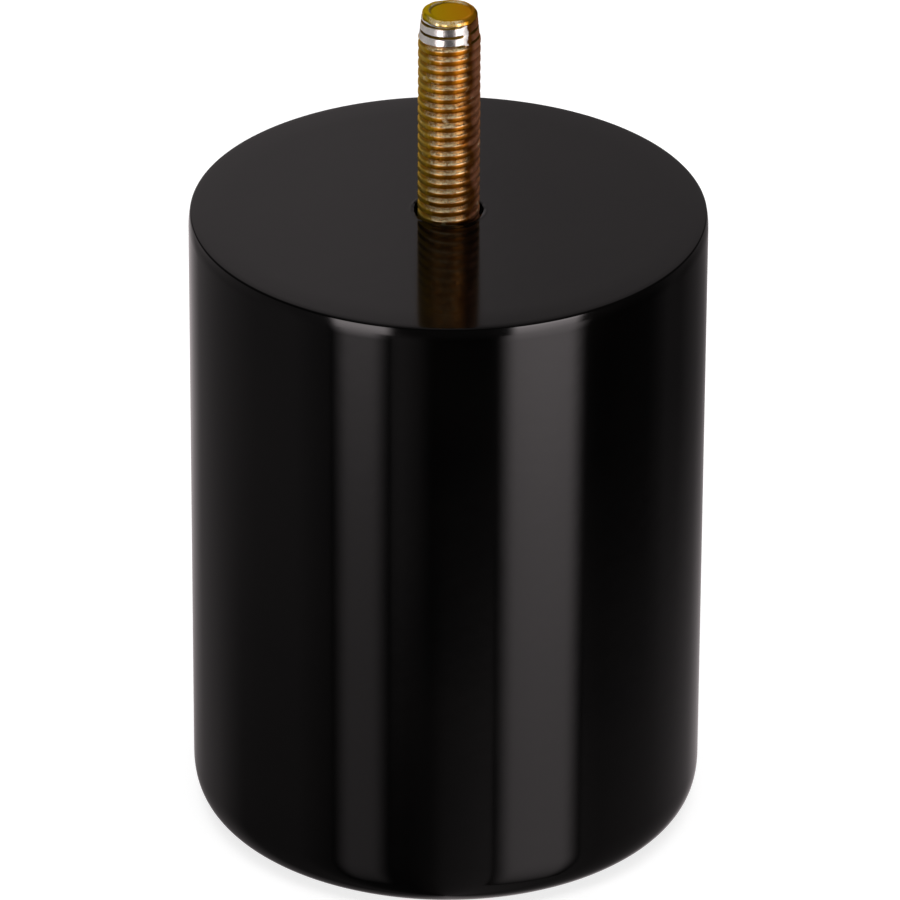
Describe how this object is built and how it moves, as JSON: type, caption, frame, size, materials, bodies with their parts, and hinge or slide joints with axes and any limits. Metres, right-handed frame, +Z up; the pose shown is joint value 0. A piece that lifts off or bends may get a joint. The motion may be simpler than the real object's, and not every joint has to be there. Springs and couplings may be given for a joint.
{
  "type": "furniture leg",
  "caption": "Short round furniture leg: a plain black lacquered wooden cylinder with a rounded foot edge and a central threaded stud in its top that screws into the furniture.",
  "frame": {"origin": "centre of the round foot, on the floor", "axes": "+Z up the axis of the leg and of its stud; X and Y are any two directions across it, because both pieces are turned"},
  "size_m": [0.0624, 0.0624, 0.1065],
  "materials": {
    "black_lacquered_wood": "satin",
    "yellow_zinc_steel": "satin"
  },
  "bodies": {
    "root": {"leg_body": "black_lacquered_wood", "hanger_bolt": "yellow_zinc_steel"}
  },
  "joints": []
}
